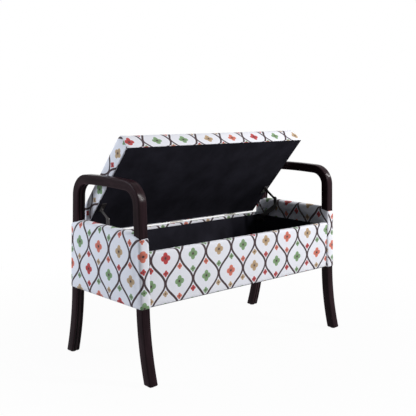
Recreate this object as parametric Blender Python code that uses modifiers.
"""Upholstered storage bench with bentwood arms and a padded lid that folds up on two stays.

Metres, +Z up. The floor is z = 0, the bench is centred on x = 0 and y = 0 and faces -Y.
Every lid and stay piece is drawn with the lid closed and hung on an empty on its joint's axis,
which then turns it to the open lid of the rest pose.
"""

import math

import bmesh
import bpy
from mathutils import Matrix, Vector

# Box and end panels
BENCH_LENGTH = 0.990  # over the two end covers
BOX_DEPTH = 0.417  # over the end covers, at the box's lower edge
BOX_BOTTOM = 0.251
BOX_TOP = 0.4325  # top of the front and back panels
END_TOP = 0.480  # top of an end panel where its posts come out
END_CROWN = 0.012  # how much higher its padded top is midway
END_FULLNESS = 4  # power of the crown: the higher, the flatter its middle
END_ROUND = 0.006
FRONT_RECESS = 0.010  # front panel behind the end columns, at the lower edge
BACK_RECESS = 0.0075
BOARD = 0.015
BOARD_EASE = 0.003
BOTTOM_BOARD = 0.012
CLEAT = 0.018
COVER = 0.003  # cover cloth with its wadding
COVER_FLAP = 0.009  # how far a cover turns down into the well
LINING = 0.0015
DUST_COVER = 0.001
DUST_MARGIN = 0.006
SEAT = 0.0003  # gap between pieces that touch

# Bentwood side frames
FRAME_THICK = 0.034
FRAME_WIDTH = 0.033
FRAME_EDGE = 0.0045
ARM_TOP = 0.663
ARM_RISE = 0.006  # how far the arm's two halves climb to its middle
ARM_EASE = 0.5  # share of each half that is in the bow
BEND_RADIUS = 0.063  # on the centre line
POST_LEAN = math.radians(2.5)
FOOT_SPREAD = 0.494  # over the feet, front to rear
GLIDE_RADIUS = 0.011
GLIDE_HEIGHT = 0.003
GLIDE_EASE = 0.001
BEND_STEPS = 9
BOW_STEPS = 4
LEG_STEPS = 6

# Frame bolts
BOLT_RADIUS = 0.003
BOLT_HEAD_RADIUS = 0.006
BOLT_HEAD = 0.004
BOLT_GRIP = 0.030  # length in the board
BOLT_INSET = 0.045  # from the box's upper and lower edges
HEAD_ROOM = 1.5  # clearances above a bolt's head, so that its hole breaks out of the post

# Lid
LID_OPEN = math.radians(50.5)
LID_OVERHANG = 0.022
LID_SIDE_GAP = 0.0125
LID_GAP = 0.0005
LID_EDGE_HEIGHT = 0.061
LID_CROWN = 0.013
LID_FULLNESS = 4
LID_DRAW = 0.003  # how far the padded sides draw in between the corners
LID_ROUND = 0.014
LID_BOARD = 0.012
LID_BOARD_ROUND = 0.010
LID_CLOTH = 0.002
LID_HEM = 0.030
LID_LINING = 0.0012
LID_LINING_INSET = 0.003
FOAM_EASE = 0.0012

# Butt hinges
HINGE_LENGTH = 0.060
HINGE_LEAF = 0.018
HINGE_GAUGE = 0.0015
HINGE_INSET = 0.14  # middle of an outer hinge from the lid's end
KNUCKLE_RADIUS = 0.003
HINGE_PIN_RADIUS = 0.0015
HINGE_PIN_HEAD = 0.0012
HINGE_PIN_HEAD_RADIUS = 0.0024
RUNNING_GAP = 0.00025

# Folding lid stays: each is a parallelogram with the hinge axis
STAY_REACH = 0.140  # hinge axis to lid pivot, along the lid
STAY_DROP = 0.0125  # lid pivot below the axis, lid closed
STAY_FORWARD = 0.041  # box pivot in front of the axis
STAY_DEPTH = 0.0275  # box pivot below the axis
STAY_INSET = 0.022  # lower arm from the end panel's inner face
STAY_KNEE = 0.86  # share of the lower arm's length at which it is bent
STAY_SAG = 0.0245  # how far its bend is below a straight arm, lid closed
STAY_BEND = 0.022  # radius of the bend on the arm's middle
LOWER_ARM_WIDTH = 0.018
LOWER_ARM_GAUGE = 0.0025
UPPER_ARM_WIDTH = 0.010
UPPER_ARM_GAUGE = 0.002
STAY_PLATE = 0.002
STAY_PLATE_EDGE = 0.0005
BOX_PLATE_LENGTH = 0.034
BOX_PLATE_HEIGHT = 0.022
BOX_PLATE_ROUND = 0.0055
LID_PLATE_LENGTH = 0.040
LID_PLATE_WIDTH = 0.020
EAR_RADIUS = 0.007
BOSS_RADIUS = 0.005
RIVET_RADIUS = 0.0025
RIVET_HEAD_RADIUS = 0.0045
RIVET_HEAD = 0.0014
RIVET_SEAT_DEPTH = 0.008

ROUND_SIDES = 16
BOLT_SIDES = 12
ARC_STEPS = 3
CROWN_STEPS = 10
SHARP_ANGLE = math.radians(50)
FLAT = 0.999  # cosine above which neighbouring faces are one flat face
WELD = 1e-6
CUT_SPARE = 0.01  # how far a cutter runs past what it cuts

# Planes worked out from the sizes above
END_OUTER = BENCH_LENGTH / 2
END_INNER = END_OUTER - FRAME_THICK - 2 * (COVER + SEAT)
FRAME_INNER = END_INNER + COVER + SEAT
FRAME_OUTER = FRAME_INNER + FRAME_THICK
FRONT_FACE = -(BOX_DEPTH / 2 - FRONT_RECESS)
BACK_FACE = BOX_DEPTH / 2 - BACK_RECESS
PANEL_DEPTH = COVER + SEAT + BOARD
FRONT_WALL = FRONT_FACE + PANEL_DEPTH
BACK_WALL = BACK_FACE - PANEL_DEPTH
LINING_TOP = BOX_TOP - COVER_FLAP - SEAT
LINING_FACE = FRAME_INNER - SEAT - LINING
PANEL_BOTTOM = BOX_BOTTOM + COVER + SEAT
CLEAT_TOP = PANEL_BOTTOM + CLEAT
FLOOR_BOTTOM = CLEAT_TOP + SEAT
FLOOR_TOP = FLOOR_BOTTOM + BOTTOM_BOARD
LEAN = math.tan(POST_LEAN)
FOOT_BOTTOM = GLIDE_HEIGHT + SEAT
HINGE_Y = BACK_FACE + SEAT + KNUCKLE_RADIUS
HINGE_Z = BOX_TOP
LID_HALF = END_INNER - LID_SIDE_GAP
HINGE_SPACING = LID_HALF - HINGE_INSET
LID_FRONT = FRONT_FACE - LID_OVERHANG
LID_BOTTOM = BOX_TOP + LID_GAP
HEM_BOTTOM = LID_BOTTOM + LID_LINING + SEAT
LID_BOARD_BOTTOM = HEM_BOTTOM + LID_CLOTH + SEAT
FOAM_BOTTOM = LID_BOARD_BOTTOM + LID_BOARD + SEAT
LID_TOP = LID_BOTTOM + LID_EDGE_HEIGHT
STAY_OUTER = END_INNER - STAY_INSET
LOWER_INNER = STAY_OUTER - LOWER_ARM_GAUGE
UPPER_OUTER = LOWER_INNER - SEAT
UPPER_INNER = UPPER_OUTER - UPPER_ARM_GAUGE
EAR_OUTER = UPPER_INNER - SEAT
EAR_INNER = EAR_OUTER - STAY_PLATE
RIVET_HOLE = RIVET_RADIUS + RUNNING_GAP

PARTS_NAME = "storage_bench"
CUTTERS_NAME = "cutters"
SIDES = (("left", -1), ("right", 1))

# Turns an outline drawn in x and y into the bench's Y-Z plane, its thickness along X.
INTO_SIDE_VIEW = Matrix(((0, 0, 1, 0), (1, 0, 0, 0), (0, 1, 0, 0), (0, 0, 0, 1)))
# Turns a shape that was turned about Z so that its axis lies along X.
INTO_CROSSWISE = Matrix.Rotation(math.pi / 2, 4, "Y")


def clear_scene():
    for obj in list(bpy.data.objects):
        bpy.data.objects.remove(obj, do_unlink=True)


def new_collection(name):
    made = bpy.data.collections.new(name)
    bpy.context.scene.collection.children.link(made)
    return made


def new_material(name, colour, roughness, metallic=0.0):
    made = bpy.data.materials.new(name)
    made.use_nodes = True
    shader = made.node_tree.nodes["Principled BSDF"]
    shader.inputs["Base Color"].default_value = (*colour, 1.0)
    shader.inputs["Roughness"].default_value = roughness
    shader.inputs["Metallic"].default_value = metallic
    return made


clear_scene()
PARTS = new_collection(PARTS_NAME)
CUTTERS = new_collection(CUTTERS_NAME)
STAINED_WOOD = new_material("stained_wood", (0.026, 0.012, 0.012), 0.28)
PLYWOOD = new_material("plywood", (0.55, 0.40, 0.24), 0.6)
FOAM = new_material("foam", (0.80, 0.76, 0.62), 0.9)
PRINTED_CLOTH = new_material("printed_cloth", (0.76, 0.77, 0.84), 0.85)
BLACK_CLOTH = new_material("black_cloth", (0.012, 0.011, 0.014), 0.95)
BLACK_STEEL = new_material("black_steel", (0.03, 0.028, 0.03), 0.4, 0.6)
PLATED_STEEL = new_material("plated_steel", (0.62, 0.60, 0.55), 0.35, 1.0)
GLIDE_PLASTIC = new_material("glide_plastic", (0.02, 0.02, 0.02), 0.5)


def place(mesh, name, material):
    """A part with this mesh, in the bench's collection."""
    obj = bpy.data.objects.new(name, mesh)
    PARTS.objects.link(obj)
    if material:
        mesh.materials.append(material)
    return obj


def as_cutter(obj):
    """Makes a shape a tool that only cuts others."""
    PARTS.objects.unlink(obj)
    CUTTERS.objects.link(obj)
    obj.hide_render = True
    obj.display_type = "WIRE"
    return obj


def boolean(obj, other, operation):
    modifier = obj.modifiers.new(f"{operation}_{other.name}", "BOOLEAN")
    modifier.operation = operation
    modifier.solver = "EXACT"
    modifier.object = other


def cut(obj, *cutters):
    for cutter in cutters:
        boolean(obj, cutter, "DIFFERENCE")


def join(obj, *others):
    for other in others:
        boolean(obj, as_cutter(other), "UNION")


def bevel(obj, width):
    modifier = obj.modifiers.new("rounded", "BEVEL")
    modifier.width = width
    modifier.segments = ARC_STEPS
    modifier.limit_method = "ANGLE"
    modifier.angle_limit = SHARP_ANGLE
    modifier.use_clamp_overlap = False


def hang(pivot, *objects):
    """Moves a mesh drawn in place onto an empty, so that it turns about the empty's origin."""
    for obj in objects:
        obj.data.transform(Matrix.Translation(-pivot.location))
        obj.parent = pivot


def pivot_empty(name, y, z, opened):
    empty = bpy.data.objects.new(name, None)
    PARTS.objects.link(empty)
    empty.location = (0, y, z)
    empty.rotation_euler = (-opened, 0, 0)
    return empty


def unit(vector):
    return vector / vector.length


def offset(points, distance):
    """The line that runs beside an open line of points, to its left, with mitred corners."""
    beside = []
    for i, point in enumerate(points):
        ahead = unit(points[min(i + 1, len(points) - 1)] - points[min(i, len(points) - 2)])
        behind = unit(points[max(i, 1)] - points[max(i - 1, 0)])
        left_ahead = Vector((-ahead.y, ahead.x))
        left_behind = Vector((-behind.y, behind.x))
        mitre = (left_ahead + left_behind) / (1 + left_ahead.dot(left_behind))
        beside.append(point + mitre * distance)
    return beside


def turn_angle(before, corner, after):
    return unit(corner - before).angle(unit(after - corner))


def arc_at(before, corner, after, radius, steps):
    """Points of the arc that rounds a corner."""
    into = unit(before - corner)
    out = unit(after - corner)
    turn = turn_angle(before, corner, after)
    reach = radius * math.tan(turn / 2)
    centre = corner + unit(into + out) * (radius / math.cos(turn / 2))
    start = corner + into * reach - centre
    side = 1 if start.cross(corner + out * reach - centre) > 0 else -1
    arc = []
    for step in range(steps + 1):
        angle = side * turn * step / steps
        arc.append(centre + Matrix.Rotation(angle, 2) @ start)
    return arc


def rounded_line(corners, radii, steps):
    """An open line whose inner corners are arcs."""
    line = [corners[0]]
    for i in range(1, len(corners) - 1):
        line += arc_at(corners[i - 1], corners[i], corners[i + 1], radii[i - 1], steps[i - 1])
    return line + [corners[-1]]


def rounded_outline(corners, radius, steps=ARC_STEPS):
    """A closed outline whose corners are all arcs."""
    count = len(corners)
    outline = []
    for i in range(count):
        outline += arc_at(corners[i - 1], corners[i], corners[(i + 1) % count], radius, steps)
    return outline


def rectangle(y0, z0, y1, z1):
    return [Vector((y0, z0)), Vector((y1, z0)), Vector((y1, z1)), Vector((y0, z1))]


def capsule(line, radius, steps=ROUND_SIDES // 2):
    """The outline of a flat bar along a line, with round ends."""
    outline = []
    for way in (line, line[::-1]):
        along = unit(way[-1] - way[-2])
        across = Vector((along.y, -along.x)) * radius
        outline += offset(way, -radius)[1:-1]
        for step in range(steps + 1):
            outline.append(way[-1] + Matrix.Rotation(math.pi * step / steps, 2) @ across)
    return outline


def band(line, thickness):
    """The outline of a sheet that follows a line, with its thickness to the line's left."""
    return line + offset(line, thickness)[::-1]


def outline_solid(name, outline, x0, x1, material=None):
    """A side-view outline given its thickness between two planes across the bench."""
    curve = bpy.data.curves.new(name, "CURVE")
    curve.dimensions = "2D"
    curve.fill_mode = "BOTH"
    curve.extrude = abs(x1 - x0) / 2
    spline = curve.splines.new("POLY")
    spline.points.add(len(outline) - 1)
    for point, corner in zip(spline.points, outline):
        point.co = (corner.x, corner.y, 0, 1)
    spline.use_cyclic_u = True
    drawing = bpy.data.objects.new(f"{name}_outline", curve)
    bpy.context.scene.collection.objects.link(drawing)
    graph = bpy.context.evaluated_depsgraph_get()
    mesh = bpy.data.meshes.new_from_object(drawing.evaluated_get(graph))
    bpy.data.objects.remove(drawing, do_unlink=True)
    mesh.materials.clear()
    mesh.name = name
    shape = bmesh.new()
    shape.from_mesh(mesh)
    bmesh.ops.remove_doubles(shape, verts=shape.verts[:], dist=WELD)
    bmesh.ops.recalc_face_normals(shape, faces=shape.faces[:])
    inner = []
    for edge in shape.edges:
        if all(abs(face.normal.z) > FLAT for face in edge.link_faces):
            inner.append(edge)
    bmesh.ops.dissolve_edges(shape, edges=inner)
    shape.to_mesh(mesh)
    shape.free()
    mesh.transform(Matrix.Translation(((x0 + x1) / 2, 0, 0)) @ INTO_SIDE_VIEW)
    return place(mesh, name, material)


def block(name, low, high, material=None):
    """A box between two corners."""
    low = Vector(low)
    high = Vector(high)
    bpy.ops.mesh.primitive_cube_add(size=1)
    made = bpy.context.object
    mesh = made.data
    bpy.data.objects.remove(made, do_unlink=True)
    mesh.name = name
    mesh.transform(Matrix.Translation((low + high) / 2) @ Matrix.Diagonal((*(high - low), 1)))
    return place(mesh, name, material)


def cylinder(name, x0, x1, y, z, radius, material=None, sides=ROUND_SIDES):
    """A round bar across the bench."""
    bpy.ops.mesh.primitive_cylinder_add(vertices=sides, radius=radius, depth=abs(x1 - x0))
    made = bpy.context.object
    mesh = made.data
    bpy.data.objects.remove(made, do_unlink=True)
    mesh.name = name
    mesh.transform(Matrix.Translation(((x0 + x1) / 2, y, z)) @ INTO_CROSSWISE)
    return place(mesh, name, material)


def turned(name, profile, place_at, material=None, sides=ROUND_SIDES):
    """A solid of revolution about its own Z, from (radius, height) points that run from top to bottom."""
    mesh = bpy.data.meshes.new(name)
    points = [(radius, 0, height) for radius, height in profile]
    mesh.from_pydata(points, [(i, i + 1) for i in range(len(points) - 1)], [])
    obj = place(mesh, name, material)
    screw = obj.modifiers.new("turned", "SCREW")
    screw.axis = "Z"
    screw.steps = sides
    screw.render_steps = sides
    screw.use_merge_vertices = True
    screw.merge_threshold = WELD
    graph = bpy.context.evaluated_depsgraph_get()
    solid = bpy.data.meshes.new_from_object(obj.evaluated_get(graph))
    obj.modifiers.clear()
    obj.data = solid
    bpy.data.meshes.remove(mesh)
    solid.name = name
    solid.transform(place_at)
    shape = bmesh.new()
    shape.from_mesh(solid)
    bmesh.ops.recalc_face_normals(shape, faces=shape.faces[:])
    shape.to_mesh(solid)
    shape.free()
    return obj


def crosswise(x, y, z, side):
    """Places a turned solid with its top end towards the given side of the bench."""
    turn = INTO_CROSSWISE if side > 0 else Matrix.Rotation(-math.pi / 2, 4, "Y")
    return Matrix.Translation((x, y, z)) @ turn


# Side frames and feet


def frame_line():
    """Centre line of a side frame, from below the front foot over the arm to below the rear foot."""
    post = BOX_DEPTH / 2 - (COVER + SEAT + FRAME_WIDTH / 2) / math.cos(POST_LEAN)
    knee_z = BOX_BOTTOM / 2
    knee_y = post + (BOX_BOTTOM - knee_z) * LEAN
    foot_y = (FOOT_SPREAD - FRAME_WIDTH) / 2
    low_y = foot_y + CUT_SPARE * (foot_y - knee_y) / knee_z
    bend_z = ARM_TOP - ARM_RISE * (1 - ARM_EASE / 2) - FRAME_WIDTH / 2
    bend_y = post - (bend_z - BOX_BOTTOM) * LEAN
    front = [Vector((-low_y, -CUT_SPARE)), Vector((-knee_y, knee_z)), Vector((-bend_y, bend_z))]
    rear = [Vector((-corner.x, corner.y)) for corner in reversed(front)]
    corners = front + [Vector((0, bend_z + ARM_RISE))] + rear
    leg_reach = (BOX_BOTTOM - knee_z) / math.cos(POST_LEAN)
    leg_radius = leg_reach / math.tan(turn_angle(*front) / 2)
    bow_radius = ARM_EASE * bend_y / math.tan(turn_angle(*corners[2:5]) / 2)
    radii = (leg_radius, BEND_RADIUS, bow_radius, BEND_RADIUS, leg_radius)
    return rounded_line(corners, radii, (LEG_STEPS, BEND_STEPS, BOW_STEPS, BEND_STEPS, LEG_STEPS))


def frame_outline(extra=0.0):
    line = frame_line()
    half = FRAME_WIDTH / 2 + extra
    return offset(line, -half) + offset(line, half)[::-1]


def foot_centre(way):
    """Where a leg's centre line meets the underside of the foot."""
    line = frame_line()
    upper = line[1] if way < 0 else line[-2]
    lower = line[0] if way < 0 else line[-1]
    share = (FOOT_BOTTOM - lower.y) / (upper.y - lower.y)
    return lower.lerp(upper, share).x


def make_side_frame(name, side):
    frame = outline_solid(name, frame_outline(), side * FRAME_INNER, side * FRAME_OUTER, STAINED_WOOD)
    bevel(frame, FRAME_EDGE)
    reach = FOOT_SPREAD
    low = (-END_OUTER - reach, -reach, -2 * CUT_SPARE - FRAME_WIDTH)
    floor = as_cutter(block(f"{name}_floor", low, (END_OUTER + reach, reach, FOOT_BOTTOM)))
    cut(frame, floor)
    return frame


def make_glide(name, side, way):
    profile = [(0, GLIDE_HEIGHT), (GLIDE_RADIUS, GLIDE_HEIGHT), (GLIDE_RADIUS, GLIDE_EASE)]
    profile += [(GLIDE_RADIUS - GLIDE_EASE, 0), (0, 0)]
    middle = side * (FRAME_INNER + FRAME_OUTER) / 2
    turned(name, profile, Matrix.Translation((middle, foot_centre(way), 0)), GLIDE_PLASTIC)


# End panels


def end_outline(side_inset, top_inset, bottom):
    """Side view of an end panel, drawn in from its cover's face by the given insets."""
    half = BOX_DEPTH / 2 - side_inset / math.cos(POST_LEAN)
    low_y = half - (bottom - BOX_BOTTOM) * LEAN
    corner_z = END_TOP - top_inset
    top_y = half - (corner_z - BOX_BOTTOM) * LEAN
    outline = [Vector((-low_y, bottom)), Vector((low_y, bottom))]
    for step in range(CROWN_STEPS + 1):
        share = 1 - 2 * step / CROWN_STEPS
        outline.append(Vector((share * top_y, corner_z + END_CROWN * (1 - share**END_FULLNESS))))
    return outline


def make_end(word, side, bolt_holes):
    frame = make_side_frame(f"side_frame_{word}", side)
    skin = COVER + SEAT
    core = end_outline(skin + FRAME_WIDTH + SEAT, skin, PANEL_BOTTOM)
    board_face = FRAME_INNER + BOARD
    outline_solid(f"end_board_{word}", core, side * FRAME_INNER, side * board_face, PLYWOOD)
    outline_solid(f"end_foam_{word}", core, side * (board_face + SEAT), side * FRAME_OUTER, FOAM)
    name = f"end_cover_{word}"
    skin_outline = end_outline(0, 0, BOX_BOTTOM)
    cover = outline_solid(name, skin_outline, side * END_INNER, side * END_OUTER, PRINTED_CLOTH)
    bevel(cover, END_ROUND)
    inner_x = END_INNER + COVER
    outer_x = END_OUTER - COVER
    hollow_outline = end_outline(COVER, COVER, BOX_BOTTOM - CUT_SPARE)
    hollow = outline_solid(f"{name}_hollow", hollow_outline, side * inner_x, side * outer_x)
    inner_x = FRAME_INNER - SEAT / 2
    outer_x = FRAME_OUTER + SEAT / 2
    posts = outline_solid(f"{name}_posts", frame_outline(SEAT / 2), side * inner_x, side * outer_x)
    mouth_outline = rectangle(FRONT_WALL, BOX_BOTTOM - CUT_SPARE, BACK_WALL, BOX_TOP - COVER_FLAP)
    mouth = outline_solid(f"{name}_mouth", mouth_outline, side * (END_INNER - CUT_SPARE), side * FRAME_INNER)
    cut(cover, as_cutter(hollow), as_cutter(posts), as_cutter(mouth))
    for hole in bolt_holes:
        cut(frame, hole)
        cut(cover, hole)


# Front, back and bottom of the box


def make_panel(word, face, wall, bolt_holes):
    """A board and the cloth round it, between the cloth's outer face and the board's inner wall."""
    inward = 1 if wall > face else -1
    board_face = face + inward * (COVER + SEAT)
    flap = wall + inward * (COVER + SEAT)
    half = END_INNER - SEAT
    corners = rectangle(board_face, PANEL_BOTTOM, wall, BOX_TOP - COVER - SEAT)
    board = outline_solid(f"{word}_board", rounded_outline(corners, BOARD_EASE), -half, half, PLYWOOD)
    cut(board, *bolt_holes)
    line = [Vector((wall, BOX_BOTTOM)), Vector((face, BOX_BOTTOM)), Vector((face, BOX_TOP))]
    line += [Vector((flap, BOX_TOP)), Vector((flap, BOX_TOP - COVER_FLAP))]
    ease = COVER + SEAT + BOARD_EASE
    wrap = rounded_line(line, [ease, ease, COVER + SEAT], [ARC_STEPS] * 3)
    outline_solid(f"{word}_cover", band(wrap, -inward * COVER), -half, half, PRINTED_CLOTH)


def make_bottom():
    half = FRAME_INNER - SEAT
    front = FRONT_WALL + SEAT
    back = BACK_WALL - SEAT
    cleat_half = END_INNER - SEAT
    for word, near, far in (("front", front, front + CLEAT), ("back", back - CLEAT, back)):
        low = (-cleat_half, near, PANEL_BOTTOM)
        block(f"bottom_cleat_{word}", low, (cleat_half, far, CLEAT_TOP), PLYWOOD)
    block("bottom_board", (-half, front, FLOOR_BOTTOM), (half, back, FLOOR_TOP), PLYWOOD)
    lining = block("well_lining", (-half, front, FLOOR_TOP + SEAT), (half, back, LINING_TOP), BLACK_CLOTH)
    low = (-LINING_FACE, front + LINING, FLOOR_TOP + SEAT + LINING)
    well = block("well_lining_inside", low, (LINING_FACE, back - LINING, LINING_TOP + CUT_SPARE))
    cut(lining, as_cutter(well))
    sheet_top = BOX_BOTTOM - SEAT
    low = (-END_INNER + DUST_MARGIN, FRONT_FACE + DUST_MARGIN, sheet_top - DUST_COVER)
    block("dust_cover", low, (END_INNER - DUST_MARGIN, BACK_FACE - DUST_MARGIN, sheet_top), BLACK_CLOTH)


def bolt_profile(clearance):
    """A bolt from the outer face of its head to its tip, with the tip at height 0."""
    board_end = END_INNER - SEAT
    tip = board_end - BOLT_GRIP - clearance
    shoulder = FRAME_OUTER - BOLT_HEAD - SEAT - clearance - tip
    top = FRAME_OUTER - SEAT + HEAD_ROOM * clearance - tip
    head = BOLT_HEAD_RADIUS + clearance
    shank = BOLT_RADIUS + clearance
    return [(0, top), (head, top), (head, shoulder), (shank, shoulder), (shank, 0), (0, 0)], tip


def make_bolts(word, side):
    """Bolts of one side, two in each post. Gives the holes that they need, by panel."""
    holes = {"front": [], "back": []}
    middles = {"front": FRONT_WALL - BOARD / 2, "back": BACK_WALL + BOARD / 2}
    for panel, y in middles.items():
        for height, z in (("lower", BOX_BOTTOM + BOLT_INSET), ("upper", BOX_TOP - BOLT_INSET)):
            name = f"frame_bolt_{panel}_{word}_{height}"
            profile, tip = bolt_profile(0)
            turned(name, profile, crosswise(side * tip, y, z, side), PLATED_STEEL, BOLT_SIDES)
            profile, tip = bolt_profile(SEAT)
            hole = turned(f"{name}_hole", profile, crosswise(side * tip, y, z, side), None, BOLT_SIDES)
            holes[panel].append(as_cutter(hole))
    return holes


# Lid


def cushion_cage(name, half, front, back, low, high, material, hem=0.0):
    """A padded block: loops near its edges, a crowned top, and sides drawn in between the corners.

    With a hem it is a cover, open below but for that width of cloth turned under.
    """
    cage = bmesh.new()
    bmesh.ops.create_cube(cage, size=1)
    size = Vector((2 * half, back - front, high - low))
    middle = Vector((0, (front + back) / 2, (low + high) / 2))
    into_place = Matrix.Translation(middle) @ Matrix.Diagonal((*size, 1))
    bmesh.ops.transform(cage, verts=cage.verts[:], matrix=into_place)
    insets = [LID_ROUND, hem] if hem else [LID_ROUND]
    across_at = [-half / 3, half / 3]
    along_at = [middle.y]
    for inset in insets:
        across_at += [inset - half, half - inset]
        along_at += [front + inset, back - inset]
    loops = [((x, 0, 0), (1, 0, 0)) for x in across_at]
    loops += [((0, y, 0), (0, 1, 0)) for y in along_at]
    loops += [((0, 0, z), (0, 0, 1)) for z in (high - LID_ROUND, FOAM_BOTTOM)]
    for point, normal in loops:
        everything = cage.verts[:] + cage.edges[:] + cage.faces[:]
        bmesh.ops.bisect_plane(cage, geom=everything, plane_co=point, plane_no=normal, dist=WELD)
    if hem:
        opening = []
        for face in cage.faces:
            centre = face.calc_center_median()
            inside = abs(centre.x) < half - hem and front + hem < centre.y < back - hem
            if inside and centre.z < FOAM_BOTTOM:
                opening.append(face)
        bmesh.ops.delete(cage, geom=opening, context="FACES")
    crease = cage.edges.layers.float.new("crease_edge")
    for edge in cage.edges:
        if all(vert.co.z < low + WELD for vert in edge.verts) and edge.calc_face_angle(0) > SHARP_ANGLE:
            edge[crease] = 1.0
    for vert in cage.verts:
        across = vert.co.x / half
        along = (vert.co.y - middle.y) / (size.y / 2)
        height = max(0.0, (vert.co.z - FOAM_BOTTOM) / (high - FOAM_BOTTOM)) ** 2
        vert.co.z += LID_CROWN * height * (1 - across**LID_FULLNESS) * (1 - along**LID_FULLNESS)
        vert.co.x -= across * LID_DRAW * height * (1 - along**2)
        vert.co.y -= along * LID_DRAW * height * (1 - across**2)
    mesh = bpy.data.meshes.new(name)
    cage.to_mesh(mesh)
    cage.free()
    cushion = place(mesh, name, material)
    soft = cushion.modifiers.new("soft", "SUBSURF")
    soft.levels = 1
    soft.render_levels = 1
    return cushion


def make_lid(pivot):
    span = (LID_HALF, LID_FRONT, BACK_FACE)
    cover = cushion_cage("lid_cover", *span, HEM_BOTTOM, LID_TOP, PRINTED_CLOTH, LID_HEM)
    cloth = cover.modifiers.new("cloth", "SOLIDIFY")
    cloth.thickness = LID_CLOTH
    cloth.offset = -1
    cloth.use_even_offset = True
    wrap = LID_CLOTH + FOAM_EASE
    span = (LID_HALF - wrap, LID_FRONT + wrap, BACK_FACE - wrap)
    foam = cushion_cage("lid_foam", *span, FOAM_BOTTOM, LID_TOP - wrap, FOAM)
    inset = LID_CLOTH + 2 * SEAT
    low = (-LID_HALF + inset, LID_FRONT + inset, LID_BOARD_BOTTOM)
    high = (LID_HALF - inset, BACK_FACE - inset, LID_BOARD_BOTTOM + LID_BOARD)
    board = block("lid_board", low, high, PLYWOOD)
    bevel_upright(board, LID_BOARD_ROUND)
    low = (-LID_HALF + LID_LINING_INSET, LID_FRONT + LID_LINING_INSET, LID_BOTTOM)
    high = (LID_HALF - LID_LINING_INSET, BACK_FACE - LID_LINING_INSET, LID_BOTTOM + LID_LINING)
    lining = block("lid_lining", low, high, BLACK_CLOTH)
    hang(pivot, cover, foam, board, lining)


def bevel_upright(obj, radius):
    """Rounds the four upright edges of a block."""
    weight = obj.data.attributes.new("bevel_weight_edge", "FLOAT", "EDGE")
    for edge in obj.data.edges:
        run = obj.data.vertices[edge.vertices[0]].co - obj.data.vertices[edge.vertices[1]].co
        weight.data[edge.index].value = float(abs(run.z) > abs(run.x) + abs(run.y))
    modifier = obj.modifiers.new("rounded", "BEVEL")
    modifier.width = radius
    modifier.segments = ARC_STEPS
    modifier.limit_method = "WEIGHT"


# Hinges


def make_leaf(name, x, upward, knuckles):
    """A hinge leaf: a plate on the panel's outer face and its knuckles round the pin."""
    way = 1 if upward else -1
    near = BACK_FACE + SEAT
    edge = HINGE_Z + way * (KNUCKLE_RADIUS + SEAT)
    end = HINGE_Z + way * HINGE_LEAF
    half = HINGE_LENGTH / 2
    outer = near + HINGE_GAUGE
    leaf = block(name, (x - half, near, min(edge, end)), (x + half, outer, max(edge, end)), PLATED_STEEL)
    reach = half + CUT_SPARE
    bore = cylinder(f"{name}_bore", x - reach, x + reach, HINGE_Y, HINGE_Z, HINGE_PIN_RADIUS + RUNNING_GAP)
    made = [as_cutter(bore)]
    root = HINGE_Z + way * (KNUCKLE_RADIUS + 2 * SEAT)
    for number, (x0, x1) in enumerate(knuckles):
        tab = block(f"{name}_tab_{number}", (x0, near, min(HINGE_Z, root)), (x1, outer, max(HINGE_Z, root)))
        knuckle = cylinder(f"{name}_knuckle_{number}", x0, x1, HINGE_Y, HINGE_Z, KNUCKLE_RADIUS)
        join(leaf, tab, knuckle)
        made += [tab, knuckle]
    cut(leaf, bore)
    return [leaf, *made]


def make_hinge(word, x, pivot):
    half = HINGE_LENGTH / 2
    third = HINGE_LENGTH / 3
    outer = [(x - half, x - half + third), (x + half - third, x + half)]
    inner = [(x - half + third + SEAT, x + half - third - SEAT)]
    make_leaf(f"hinge_{word}_box_leaf", x, False, outer)
    hang(pivot, *make_leaf(f"hinge_{word}_lid_leaf", x, True, inner))
    reach = half + SEAT
    head = HINGE_PIN_HEAD_RADIUS
    tip = reach + HINGE_PIN_HEAD
    profile = [(0, tip), (head, tip), (head, reach), (HINGE_PIN_RADIUS, reach), (HINGE_PIN_RADIUS, -reach)]
    profile += [(head, -reach), (head, -tip), (0, -tip)]
    turned(f"hinge_{word}_pin", profile, crosswise(x, HINGE_Y, HINGE_Z, 1), PLATED_STEEL)


# Lid stays


def rivet(name, side, inner, outer, y, z, outer_head=True):
    """A rivet across the bench, with a head at its inner end and, unless driven in, one at its outer end."""
    top = outer + RIVET_HEAD if outer_head else outer
    profile = [(0, top - inner)]
    if outer_head:
        profile += [(RIVET_HEAD_RADIUS, top - inner), (RIVET_HEAD_RADIUS, outer - inner)]
    else:
        profile += [(RIVET_RADIUS, top - inner)]
    profile += [(RIVET_RADIUS, outer - inner - SEAT), (RIVET_RADIUS, 0)]
    profile += [(RIVET_HEAD_RADIUS, 0), (RIVET_HEAD_RADIUS, -RIVET_HEAD), (0, -RIVET_HEAD)]
    return turned(name, profile, crosswise(side * inner, y, z, side), BLACK_STEEL)


def pivot_hole(name, y, z):
    return as_cutter(cylinder(name, -END_OUTER, END_OUTER, y, z, RIVET_HOLE))


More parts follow.
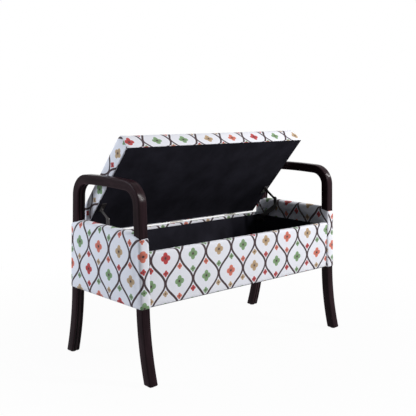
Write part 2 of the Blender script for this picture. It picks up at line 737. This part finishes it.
def make_stay(word, side, lid_pivot):
    lid_point = Vector((HINGE_Y - STAY_REACH, HINGE_Z - STAY_DROP))
    box_point = Vector((HINGE_Y - STAY_FORWARD, HINGE_Z - STAY_DEPTH))
    elbow = lid_point + box_point - Vector((HINGE_Y, HINGE_Z))
    name = f"stay_{word}"

    along = unit(elbow - box_point)
    knee = box_point.lerp(elbow, STAY_KNEE) + Vector((-along.y, along.x)) * STAY_SAG
    bent = rounded_line([box_point, knee, elbow], [STAY_BEND], [2 * ARC_STEPS])
    bar = capsule(bent, LOWER_ARM_WIDTH / 2)
    lower = outline_solid(f"{name}_lower_arm", bar, side * LOWER_INNER, side * STAY_OUTER, BLACK_STEEL)
    lower_holes = [pivot_hole(f"{name}_box_hole", *box_point), pivot_hole(f"{name}_elbow_hole", *elbow)]
    cut(lower, *lower_holes)
    elbow_rivet = rivet(f"{name}_elbow_rivet", side, UPPER_INNER - SEAT, STAY_OUTER + SEAT, *elbow)
    lower_pivot = pivot_empty(f"{name}_box_pivot", *box_point, LID_OPEN)
    hang(lower_pivot, lower, elbow_rivet, *lower_holes)

    bar = capsule([lid_point, elbow], UPPER_ARM_WIDTH / 2)
    upper = outline_solid(f"{name}_upper_arm", bar, side * UPPER_INNER, side * UPPER_OUTER, BLACK_STEEL)
    upper_holes = [pivot_hole(f"{name}_lid_hole", *lid_point), pivot_hole(f"{name}_far_elbow_hole", *elbow)]
    cut(upper, *upper_holes)
    hang_point = pivot_empty(f"{name}_lid_pivot", *lid_point, 0)
    hang(hang_point, upper, *upper_holes)
    opened = Matrix.Rotation(-LID_OPEN, 3, "X") @ Vector((0, -STAY_REACH, -STAY_DROP))
    hang_point.location = Vector((0, HINGE_Y, HINGE_Z)) + opened

    make_lid_bracket(name, side, lid_point, lid_pivot)
    make_box_bracket(name, side, box_point)


def make_lid_bracket(name, side, point, lid_pivot):
    """A plate under the lid with an ear that carries the upper arm."""
    plate_top = LID_BOTTOM - SEAT
    plate_bottom = plate_top - STAY_PLATE
    half = LID_PLATE_LENGTH / 2
    corners = rectangle(point.x - half, plate_bottom, point.x + half, plate_top)
    base = rounded_outline(corners, STAY_PLATE_EDGE)
    inner = EAR_OUTER - LID_PLATE_WIDTH
    bracket = outline_solid(f"{name}_lid_bracket", base, side * inner, side * EAR_OUTER, BLACK_STEEL)
    ear_outline = [Vector((point.x + EAR_RADIUS, plate_bottom + STAY_PLATE / 2))]
    ear_outline.append(Vector((point.x - EAR_RADIUS, plate_bottom + STAY_PLATE / 2)))
    for step in range(ROUND_SIDES // 2 + 1):
        angle = math.pi * (1 + 2 * step / ROUND_SIDES)
        ear_outline.append(point + Vector((math.cos(angle), math.sin(angle))) * EAR_RADIUS)
    ear = outline_solid(f"{name}_lid_ear", ear_outline, side * EAR_INNER, side * EAR_OUTER)
    hole = pivot_hole(f"{name}_ear_hole", *point)
    join(bracket, ear)
    cut(bracket, hole)
    pin = rivet(f"{name}_lid_rivet", side, EAR_INNER - SEAT, UPPER_OUTER + SEAT, *point)
    hang(lid_pivot, bracket, ear, hole, pin)


def make_box_bracket(name, side, point):
    """A plate on the lined end of the well, with a boss that the lower arm turns on."""
    face = LINING_FACE - SEAT
    half_y = BOX_PLATE_LENGTH / 2
    half_z = BOX_PLATE_HEIGHT / 2
    corners = rectangle(point.x - half_y, point.y - half_z, point.x + half_y, point.y + half_z)
    outline = rounded_outline(corners, BOX_PLATE_ROUND)
    inner = face - STAY_PLATE
    bracket = outline_solid(f"{name}_box_bracket", outline, side * inner, side * face, BLACK_STEEL)
    boss_end = STAY_OUTER + SEAT
    boss = cylinder(f"{name}_boss", side * boss_end, side * (face - STAY_PLATE / 2), *point, BOSS_RADIUS)
    depth = boss_end + RIVET_SEAT_DEPTH
    mouth = boss_end - CUT_SPARE
    seat = cylinder(f"{name}_boss_seat", side * mouth, side * (depth + SEAT), *point, RIVET_HOLE)
    join(bracket, boss)
    cut(bracket, as_cutter(seat))
    rivet(f"{name}_box_rivet", side, LOWER_INNER - SEAT, depth, *point, outer_head=False)


def make_bench():
    front_holes = []
    back_holes = []
    for word, side in SIDES:
        holes = make_bolts(word, side)
        front_holes += holes["front"]
        back_holes += holes["back"]
        make_end(word, side, holes["front"] + holes["back"])
        make_glide(f"foot_glide_front_{word}", side, -1)
        make_glide(f"foot_glide_rear_{word}", side, 1)
    make_panel("front", FRONT_FACE, FRONT_WALL, front_holes)
    make_panel("back", BACK_FACE, BACK_WALL, back_holes)
    make_bottom()
    lid_pivot = pivot_empty("lid_hinge_axis", HINGE_Y, HINGE_Z, LID_OPEN)
    make_lid(lid_pivot)
    for word, place_x in (("left", -HINGE_SPACING), ("middle", 0), ("right", HINGE_SPACING)):
        make_hinge(word, place_x, lid_pivot)
    for word, side in SIDES:
        make_stay(word, side, lid_pivot)


make_bench()
